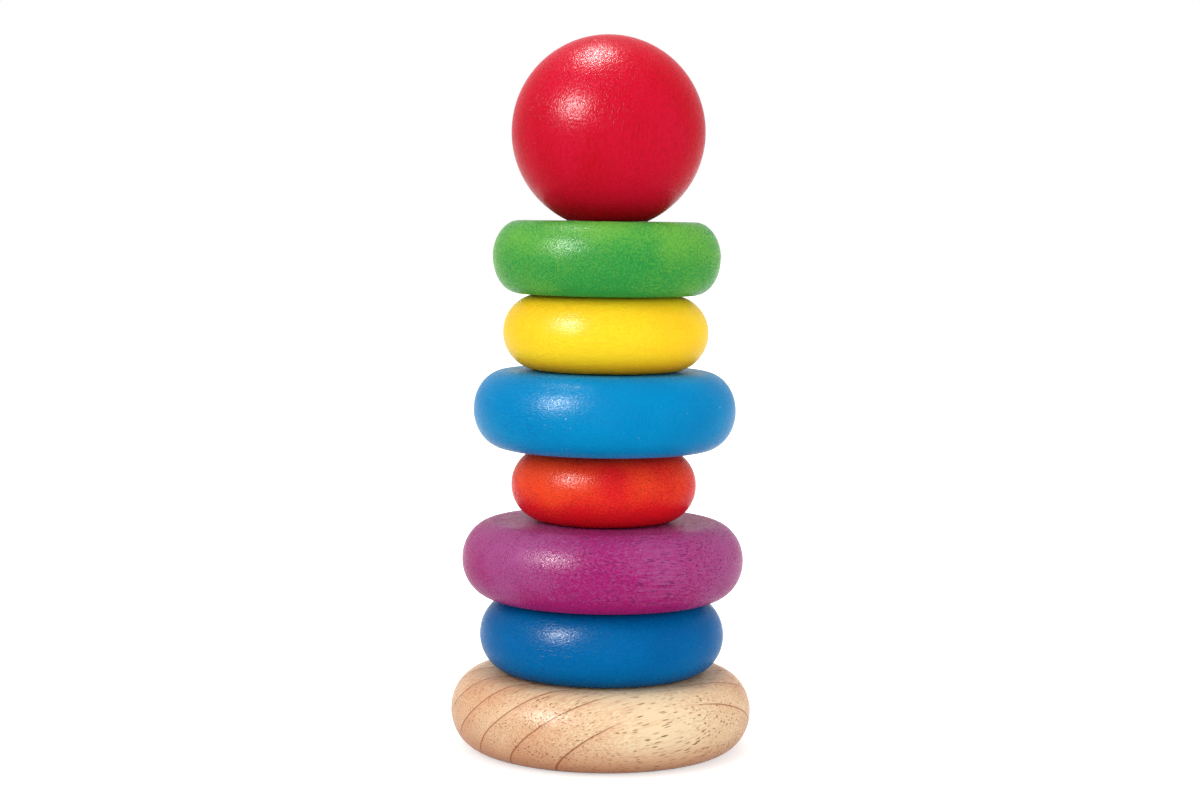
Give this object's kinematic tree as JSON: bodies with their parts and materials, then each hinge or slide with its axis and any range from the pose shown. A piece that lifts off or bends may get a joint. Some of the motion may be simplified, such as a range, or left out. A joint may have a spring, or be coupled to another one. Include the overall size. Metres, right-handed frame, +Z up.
{
  "type": "stacking ring tower",
  "caption": "Wooden stacking toy: a round natural base with a glued post, loose stained rings of mixed diameters that slide over it, and a drilled ball that caps the post.",
  "frame": {"origin": "centre of the base's underside, on the surface that the tower stands on", "axes": "+Z up along the post, about which every piece is turned; -Y towards the viewer of the picture, +X to the viewer's right"},
  "size_m": [0.106, 0.106, 0.2505],
  "materials": {
    "natural_wood": "satin",
    "post_wood": "satin",
    "deep_blue_stain": "satin",
    "purple_stain": "satin",
    "scarlet_stain": "satin",
    "sky_blue_stain": "satin",
    "yellow_stain": "satin",
    "green_stain": "satin",
    "crimson_stain": "satin"
  },
  "bodies": {
    "stand": {"base": "natural_wood", "post": "post_wood"},
    "deep_blue": {"deep_blue_ring": "deep_blue_stain"},
    "purple": {"purple_ring": "purple_stain"},
    "scarlet": {"scarlet_ring": "scarlet_stain"},
    "sky_blue": {"sky_blue_ring": "sky_blue_stain"},
    "yellow": {"yellow_ring": "yellow_stain"},
    "green": {"green_ring": "green_stain"},
    "ball": {"top_ball": "crimson_stain"}
  },
  "joints": [
    {"name": "deep_blue_lift", "type": "slide", "parent": "stand", "child": "deep_blue", "axis": [0, 0, 1], "range_m": [0, 0.1988]},
    {"name": "purple_lift", "type": "slide", "parent": "deep_blue", "child": "purple", "axis": [0, 0, 1], "range_m": [0, 0.1724]},
    {"name": "scarlet_lift", "type": "slide", "parent": "purple", "child": "scarlet", "axis": [0, 0, 1], "range_m": [0, 0.1453]},
    {"name": "sky_blue_lift", "type": "slide", "parent": "scarlet", "child": "sky_blue", "axis": [0, 0, 1], "range_m": [0, 0.1198]},
    {"name": "yellow_lift", "type": "slide", "parent": "sky_blue", "child": "yellow", "axis": [0, 0, 1], "range_m": [0, 0.0923]},
    {"name": "green_lift", "type": "slide", "parent": "yellow", "child": "green", "axis": [0, 0, 1], "range_m": [0, 0.0656]},
    {"name": "ball_lift", "type": "slide", "parent": "green", "child": "ball", "axis": [0, 0, 1], "range_m": [0, 0.04]}
  ]
}
